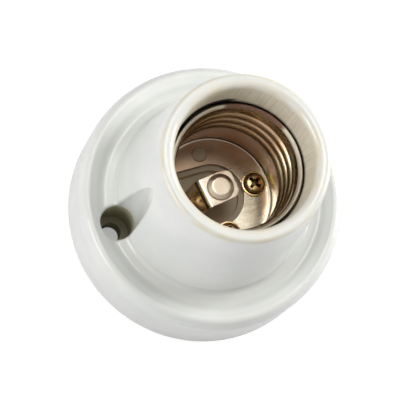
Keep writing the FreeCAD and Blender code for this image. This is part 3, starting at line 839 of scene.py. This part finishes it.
def add_sleeve(finish):
    """The sleeve of one thin sheet: in-turned foot, plain wall, rolled thread and flared lip."""
    sleeve = rolled_thread()
    for cut, rings in ((THREAD_BOTTOM, WALL_AND_FOOT), (THREAD_TOP, FLARED_LIP)):
        radius, height = rings[0]
        bpy.ops.object.select_all(action="DESELECT")
        bpy.ops.mesh.primitive_circle_add(
            vertices=SLEEVE_STEPS, radius=radius * MM, location=(0, 0, (FLOOR + height) * MM)
        )
        settle()
        ring = bpy.context.object
        only(sleeve)
        ring.select_set(True)
        bpy.ops.object.join()
        # The thread's level cut is joined to the first ring, and the sheet is drawn on from there.
        pick_level_edges(sleeve, (cut, height))
        bpy.ops.mesh.bridge_edge_loops()
        settle()
        pick_level_edges(sleeve, (height,))
        for next_radius, next_height in rings[1:]:
            bpy.ops.mesh.extrude_edges_move(
                TRANSFORM_OT_translate={"value": (0, 0, (next_height - height) * MM)}
            )
            share = next_radius / radius
            bpy.ops.transform.resize(value=(share, share, 1), center_override=(0, 0, 0))
            radius, height = next_radius, next_height
        settle()
    edit_all()
    bpy.ops.mesh.normals_make_consistent(inside=False)
    settle()
    add_modifier(sleeve, "SOLIDIFY", thickness=SHEET * MM, offset=1.0, use_even_offset=True)
    dress(sleeve, "rolled_sleeve", finish, SLEEVE_SMOOTH)
    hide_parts("threaded_sleeve")
    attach(sleeve, "holder")


# Camera, as the photograph's perspective gives it: angles in degrees, lengths in millimetres.
CAMERA_AZIMUTH = 30.7
CAMERA_ELEVATION = 72.4
CAMERA_ROLL = 42.3
CAMERA_DISTANCE = 300.0
CAMERA_LENS = 121.0
CAMERA_SENSOR = 36.0
CAMERA_NEAREST = 10.0
# The point that the middle of the picture shows, at the height of the plate in the sleeve.
VIEW_CENTRE = (1.64, 2.17, 14.4)

# Each lamp: name, azimuth and elevation in degrees, width in millimetres, watts.
LAMPS = (
    ("left strip", 0, 25, 220, 0.84),
    ("right strip", 180, 25, 220, 1.55),
    ("left box", 310, 55, 160, 0.12),
    ("top box", 265, 75, 160, 0.38),
    ("near fill", 45, 30, 220, 0.12),
)
LAMP_DISTANCE = 420.0
LAMP_AIM = (0, 0, 22)

# The white room's strength on matt surfaces, in mirrors and where the camera sees it.
ROOM_ON_MATT = 0.21
ROOM_IN_MIRRORS = 0.85
ROOM_SEEN = 1.0

# The paper, and the share of white light that washes it out. The share is less under the base,
# where the paper shows through the fixing holes, and the glow left there is painted light.
PAPER_WIDTH = 1400.0
PAPER_DROP = 0.05
WASH_STRENGTH = 1.05
WASH_UNDER = 0.33
WASH_ROUND = 0.9
WASH_EDGE = (28.0, 29.5)


def direction(azimuth, elevation):
    """The unit vector that points at an azimuth from +X toward +Y and an elevation."""
    turn = math.radians(azimuth)
    rise = math.radians(elevation)
    return Vector((math.cos(rise) * math.cos(turn), math.cos(rise) * math.sin(turn), math.sin(rise)))


def set_camera():
    """The camera of the photograph."""
    toward = direction(CAMERA_AZIMUTH, CAMERA_ELEVATION)
    data = bpy.data.cameras.new("camera")
    data.lens = CAMERA_LENS
    data.sensor_width = CAMERA_SENSOR
    data.clip_start = CAMERA_NEAREST * MM
    camera = bpy.data.objects.new("camera", data)
    camera.location = (Vector(VIEW_CENTRE) + toward * CAMERA_DISTANCE) * MM
    roll = Quaternion((0, 0, 1), math.radians(CAMERA_ROLL))
    camera.rotation_euler = (toward.to_track_quat("Z", "Y") @ roll).to_euler()
    bpy.context.scene.collection.objects.link(camera)
    bpy.context.scene.camera = camera


def add_lamp(name, azimuth, elevation, width, watts):
    """A soft square lamp that looks at the holder's middle."""
    data = bpy.data.lights.new(name, "AREA")
    data.size = width * MM
    data.energy = watts
    lamp = bpy.data.objects.new(name, data)
    toward = direction(azimuth, elevation)
    lamp.location = (Vector(LAMP_AIM) + toward * LAMP_DISTANCE) * MM
    lamp.rotation_euler = toward.to_track_quat("Z", "Y").to_euler()
    lamp.visible_camera = False
    bpy.context.scene.collection.objects.link(lamp)


def set_room():
    """White light from all sides, which the glaze and the metal mirror."""
    world = bpy.data.worlds.new("studio")
    bpy.context.scene.world = world
    world.use_nodes = True
    tree = world.node_tree
    tree.nodes.clear()
    ray = add_node(tree, "ShaderNodeLightPath").outputs
    unseen = ramp(tree, ray["Is Glossy Ray"], 0.0, 1.0, ROOM_ON_MATT, ROOM_IN_MIRRORS)
    strength = ramp(tree, ray["Is Camera Ray"], 0.0, 1.0, unseen, ROOM_SEEN)
    room = add_node(
        tree, "ShaderNodeBackground", {"Color": linear("#ffffff"), "Strength": strength}
    )
    add_node(tree, "ShaderNodeOutputWorld", {"Surface": room.outputs["Background"]})


def add_paper():
    """White paper under the holder. It keeps a pale shadow."""
    bpy.ops.mesh.primitive_plane_add(size=PAPER_WIDTH * MM, location=(0, 0, -PAPER_DROP * MM))
    floor = bpy.context.object
    floor.name = "floor"
    material, tree, place = new_material("white sweep")
    paper = add_node(tree, "ShaderNodeBsdfDiffuse", {"Color": linear("#f2f2f2")}).outputs["BSDF"]
    white = add_node(
        tree, "ShaderNodeEmission", {"Color": linear("#ffffff"), "Strength": WASH_STRENGTH}
    ).outputs["Emission"]
    away = distance_from_axis(tree, place)
    wash = ramp(tree, away, *WASH_EDGE, first=WASH_UNDER, last=WASH_ROUND)
    washed = add_node(tree, "ShaderNodeMixShader", {0: wash, 1: paper, 2: white}).outputs[0]
    seen = add_node(tree, "ShaderNodeLightPath").outputs["Is Camera Ray"]
    shown = add_node(tree, "ShaderNodeMixShader", {0: seen, 1: paper, 2: washed}).outputs[0]
    add_node(tree, "ShaderNodeOutputMaterial", {"Surface": shown})
    floor.data.materials.append(material)


def set_studio():
    """The room, soft lamps on both sides and above, and the paper."""
    set_room()
    for lamp in LAMPS:
        add_lamp(*lamp)
    add_paper()
    bpy.context.scene.view_settings.view_transform = "Standard"


zinc_finish = yellow_zinc()
spun_finish = nickel_plate(
    "spun nickel plate", pale="#c6baa3", deep="#aea086", marks=sleeve_marks_and_light, spun=True
)
dress_nodes(zinc_finish, spun_finish)
add_screws(zinc_finish)
add_sleeve(spun_finish)
set_camera()
set_studio()
